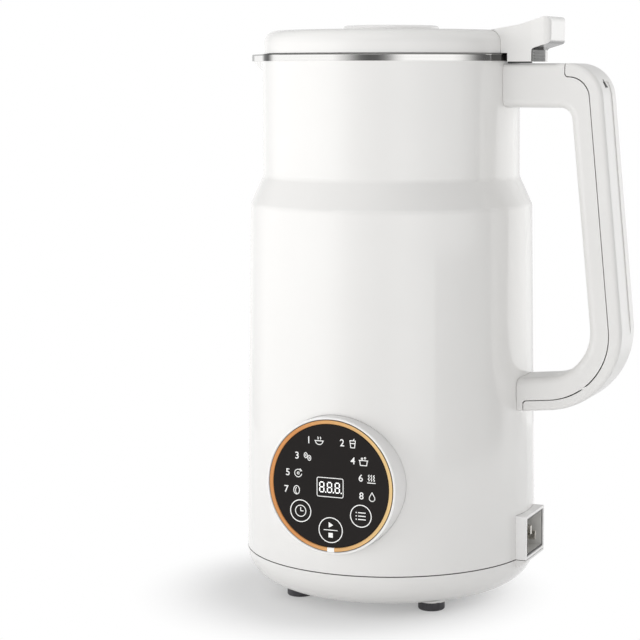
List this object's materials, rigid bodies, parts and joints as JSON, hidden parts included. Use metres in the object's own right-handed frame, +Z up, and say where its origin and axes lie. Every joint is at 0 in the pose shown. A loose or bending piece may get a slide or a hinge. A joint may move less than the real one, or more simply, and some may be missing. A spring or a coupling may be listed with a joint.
{
  "type": "soy milk maker",
  "caption": "White countertop soy milk maker with a steel jug, lift-off lid, side handle, round touch control pod and a power inlet under the handle.",
  "frame": {"origin": "on the jug's vertical axis, at the surface that the feet stand on", "axes": "+Z up, +X towards the handle and the power inlet, -Y towards the control pod, -X towards the pouring lip"},
  "size_m": [0.1842, 0.1405, 0.2666],
  "materials": {
    "white_casing": "gloss moulded white",
    "white_base": "gloss moulded white",
    "white_handle": "soft gloss moulded white",
    "white_lid": "gloss moulded white",
    "jug_steel": "brushed inside, polished rim",
    "fitting_steel": "machined",
    "blade_steel": "ground",
    "lamination_steel": "stacked laminations",
    "aluminium_part": "cast",
    "copper_ring": "satin copper tone",
    "copper_winding": "enamelled wire",
    "black_glass": "gloss, opaque black backing",
    "light_lens": "frosted",
    "grey_socket": "satin grey",
    "circuit_board": "green board",
    "black_plastic": "matt black",
    "foot_rubber": "matt dark grey",
    "seal_silicone": "translucent white silicone",
    "lead_sleeve": "heat-resistant sleeve",
    "magnet_metal": "plated magnet"
  },
  "bodies": {
    "base": {"accent_ring": "copper_ring", "ball_bearings": "fitting_steel", "base_cover": "white_base", "base_screws": "fitting_steel", "body_shell": "white_casing", "brush_holders": "black_plastic", "carbon_brushes": "black_plastic", "carrier_grommets": "foot_rubber", "carrier_nuts": "fitting_steel", "control_board": "circuit_board", "display_module": "black_plastic", "field_coils": "copper_winding", "handle_cover": "white_handle", "handle_frame": "white_handle", "handle_screws": "fitting_steel", "heater_plate": "aluminium_part", "heater_ring": "aluminium_part", "housing_gasket": "seal_silicone", "housing_nut": "fitting_steel", "indicator_lens": "light_lens", "inlet_pins": "fitting_steel", "inlet_shroud": "white_casing", "inlet_socket": "grey_socket", "jug_studs": "fitting_steel", "mains_leads": "lead_sleeve", "motor_carrier": "aluminium_part", "motor_end_frame": "aluminium_part", "motor_screws": "fitting_steel", "pod_housing": "white_casing", "power_board": "circuit_board", "power_components": "black_plastic", "reed_switch": "black_plastic", "rubber_feet": "foot_rubber", "shaft_housing": "fitting_steel", "shaft_seals": "seal_silicone", "stator_core": "lamination_steel", "steel_jug": "jug_steel", "temperature_sensor": "fitting_steel", "touch_glass": "black_glass", "touch_pads": "seal_silicone"},
    "rotor": {"motor_shaft": "fitting_steel", "armature_core": "lamination_steel", "armature_windings": "copper_winding", "commutator": "copper_winding", "cooling_fan": "black_plastic", "blade_hub": "blade_steel", "lower_blade": "blade_steel", "upper_blade": "blade_steel", "blade_nut": "blade_steel"},
    "lid": {"lid_shell": "white_lid", "lid_tab": "white_lid", "vent_cap": "white_lid", "lid_liner": "white_lid", "lid_seal": "seal_silicone", "overflow_probe": "fitting_steel", "probe_collar": "white_lid", "lid_magnet": "magnet_metal", "lid_screws": "fitting_steel", "tab_screws": "fitting_steel"}
  },
  "joints": [
    {"name": "blade_spin", "type": "hinge", "parent": "base", "child": "rotor", "pos_m": [0, 0, 0.06], "axis": [0, 0, 1], "continuous": true},
    {"name": "lid_lift", "type": "slide", "parent": "base", "child": "lid", "axis": [0, 0, 1], "range_m": [0, 0.08]}
  ]
}
